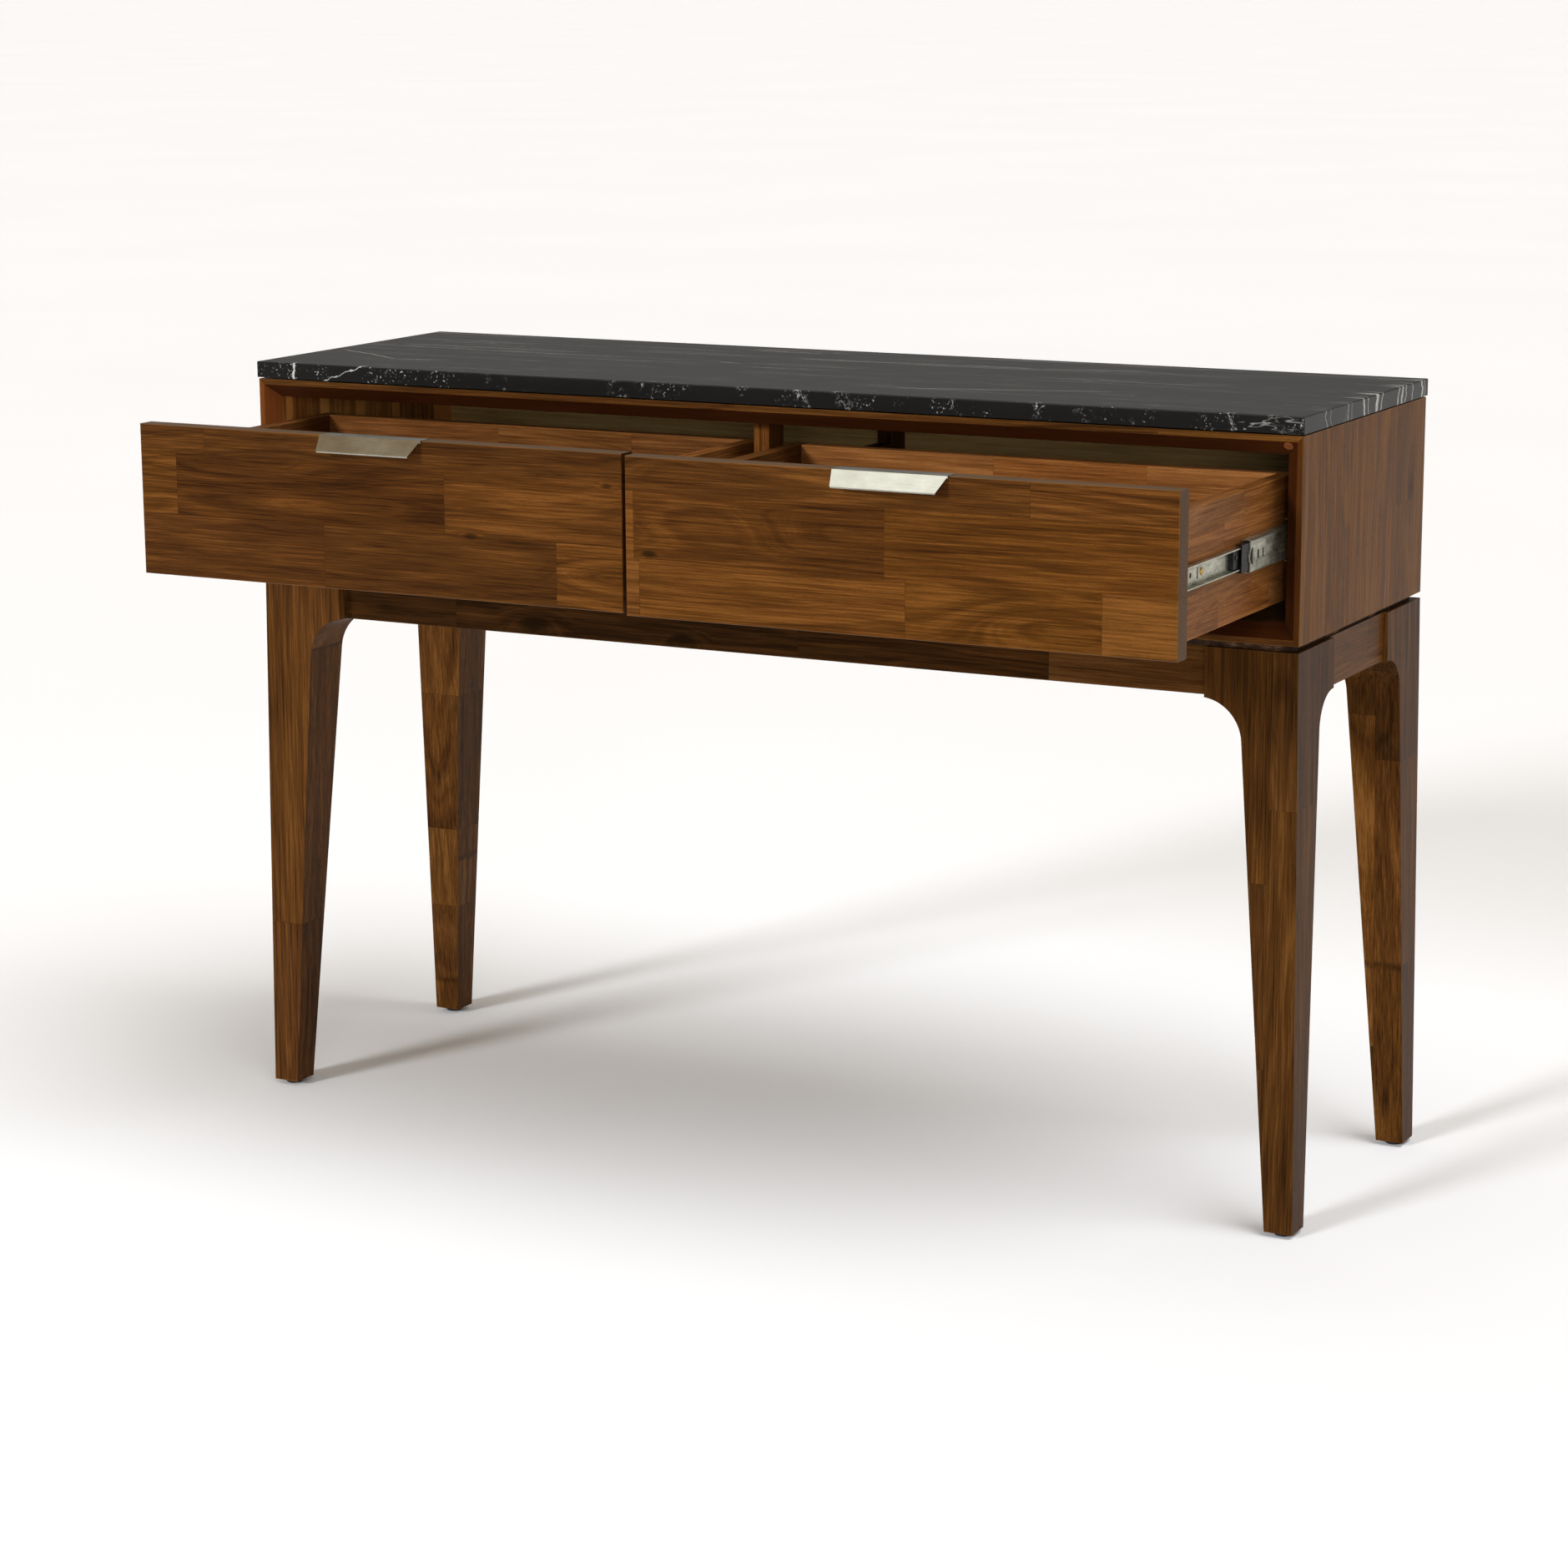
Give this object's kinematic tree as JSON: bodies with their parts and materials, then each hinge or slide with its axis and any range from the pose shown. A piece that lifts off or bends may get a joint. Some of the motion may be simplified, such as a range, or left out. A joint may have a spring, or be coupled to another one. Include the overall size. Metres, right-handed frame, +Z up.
{
  "type": "console table",
  "caption": "Console table with a stone top, a mitred cabinet holding side-by-side drawers on telescopic slides, and a bracketed leg base.",
  "frame": {"origin": "on the floor, at the middle of the whole footprint as built, with both drawers part open; the middle of the cabinet and legs is 135.7 mm behind it", "axes": "+Z up, +X to the table's right as seen from the front, -Y the way the drawers open"},
  "size_m": [1.219, 0.6412, 0.8188],
  "materials": {
    "marble": "honed, thin pale veins",
    "clear_rubber": "matt",
    "stained_wood": "satin, edge-glued staves",
    "back_panel": "matt",
    "felt": "felted",
    "plywood": "raw",
    "raw_wood": "raw",
    "zinc_screw": "zinc plated",
    "zinc_steel": "zinc plated, satin",
    "glide_plastic": "matt",
    "slide_plastic": "satin",
    "drawer_front_wood": "satin, edge-glued staves",
    "drawer_box_wood": "satin, edge-glued staves",
    "satin_pull_metal": "satin, brushed along its length"
  },
  "bodies": {
    "frame": {"marble_top": "marble", "marble_pads": "clear_rubber", "cabinet_top": "stained_wood", "cabinet_bottom": "stained_wood", "cabinet_left_side": "stained_wood", "cabinet_right_side": "stained_wood", "cabinet_back_panel": "back_panel", "centre_front_post": "stained_wood", "centre_rear_post": "stained_wood", "centre_slide_rail": "stained_wood", "felt_pad": "felt", "base_spacer": "plywood", "base_screws": "zinc_screw", "leg_front_left": "stained_wood", "leg_front_right": "stained_wood", "leg_back_left": "stained_wood", "leg_back_right": "stained_wood", "apron_front": "stained_wood", "apron_back": "stained_wood", "apron_left": "stained_wood", "apron_right": "stained_wood", "corner_braces": "raw_wood", "brace_bolts": "zinc_screw", "floor_glides": "glide_plastic", "slide_cabinet_screws": "zinc_screw", "left_slide_cabinet_members": "zinc_steel", "right_slide_cabinet_members": "zinc_steel"},
    "left_drawer": {"left_drawer_front": "drawer_front_wood", "left_drawer_inner_front": "drawer_box_wood", "left_drawer_left_side": "drawer_box_wood", "left_drawer_right_side": "drawer_box_wood", "left_drawer_back": "drawer_box_wood", "left_drawer_floor": "drawer_box_wood", "left_drawer_handle": "satin_pull_metal", "left_drawer_front_screws": "zinc_screw", "left_drawer_slide_screws": "zinc_screw", "left_slide_drawer_member_outer": "zinc_steel", "left_slide_drawer_member_inner": "zinc_steel", "left_slide_release_levers": "slide_plastic"},
    "left_outer_middle_member": {"left_slide_middle_member_outer": "zinc_steel"},
    "left_outer_ball_cage": {"left_slide_ball_cage_outer": "slide_plastic"},
    "left_inner_middle_member": {"left_slide_middle_member_inner": "zinc_steel"},
    "left_inner_ball_cage": {"left_slide_ball_cage_inner": "slide_plastic"},
    "right_drawer": {"right_drawer_front": "drawer_front_wood", "right_drawer_inner_front": "drawer_box_wood", "right_drawer_left_side": "drawer_box_wood", "right_drawer_right_side": "drawer_box_wood", "right_drawer_back": "drawer_box_wood", "right_drawer_floor": "drawer_box_wood", "right_drawer_handle": "satin_pull_metal", "right_drawer_front_screws": "zinc_screw", "right_drawer_slide_screws": "zinc_screw", "right_slide_drawer_member_outer": "zinc_steel", "right_slide_drawer_member_inner": "zinc_steel", "right_slide_release_levers": "slide_plastic"},
    "right_outer_middle_member": {"right_slide_middle_member_outer": "zinc_steel"},
    "right_outer_ball_cage": {"right_slide_ball_cage_outer": "slide_plastic"},
    "right_inner_middle_member": {"right_slide_middle_member_inner": "zinc_steel"},
    "right_inner_ball_cage": {"right_slide_ball_cage_inner": "slide_plastic"}
  },
  "joints": [
    {"name": "left_drawer_slide", "type": "slide", "parent": "frame", "child": "left_drawer", "axis": [0, -1, 0], "range_m": [-0.2588, 0.0412]},
    {"name": "left_outer_middle_member_slide", "type": "slide", "parent": "frame", "child": "left_outer_middle_member", "axis": [0, -1, 0], "range_m": [-0.12941, 0.02061]},
    {"name": "left_outer_ball_cage_slide", "type": "slide", "parent": "frame", "child": "left_outer_ball_cage", "axis": [0, -1, 0], "range_m": [-0.19411, 0.03091]},
    {"name": "left_inner_middle_member_slide", "type": "slide", "parent": "frame", "child": "left_inner_middle_member", "axis": [0, -1, 0], "range_m": [-0.12941, 0.02061]},
    {"name": "left_inner_ball_cage_slide", "type": "slide", "parent": "frame", "child": "left_inner_ball_cage", "axis": [0, -1, 0], "range_m": [-0.19411, 0.03091]},
    {"name": "right_drawer_slide", "type": "slide", "parent": "frame", "child": "right_drawer", "axis": [0, -1, 0], "range_m": [-0.2699, 0.0301]},
    {"name": "right_outer_middle_member_slide", "type": "slide", "parent": "frame", "child": "right_outer_middle_member", "axis": [0, -1, 0], "range_m": [-0.13496, 0.01506]},
    {"name": "right_outer_ball_cage_slide", "type": "slide", "parent": "frame", "child": "right_outer_ball_cage", "axis": [0, -1, 0], "range_m": [-0.20243, 0.02259]},
    {"name": "right_inner_middle_member_slide", "type": "slide", "parent": "frame", "child": "right_inner_middle_member", "axis": [0, -1, 0], "range_m": [-0.13496, 0.01506]},
    {"name": "right_inner_ball_cage_slide", "type": "slide", "parent": "frame", "child": "right_inner_ball_cage", "axis": [0, -1, 0], "range_m": [-0.20243, 0.02259]}
  ],
  "couplings": [
    {"joint": "left_outer_middle_member_slide", "follows": "left_drawer_slide", "ratio": 0.5},
    {"joint": "left_outer_ball_cage_slide", "follows": "left_drawer_slide", "ratio": 0.75},
    {"joint": "left_inner_middle_member_slide", "follows": "left_drawer_slide", "ratio": 0.5},
    {"joint": "left_inner_ball_cage_slide", "follows": "left_drawer_slide", "ratio": 0.75},
    {"joint": "right_outer_middle_member_slide", "follows": "right_drawer_slide", "ratio": 0.5},
    {"joint": "right_outer_ball_cage_slide", "follows": "right_drawer_slide", "ratio": 0.75},
    {"joint": "right_inner_middle_member_slide", "follows": "right_drawer_slide", "ratio": 0.5},
    {"joint": "right_inner_ball_cage_slide", "follows": "right_drawer_slide", "ratio": 0.75}
  ]
}
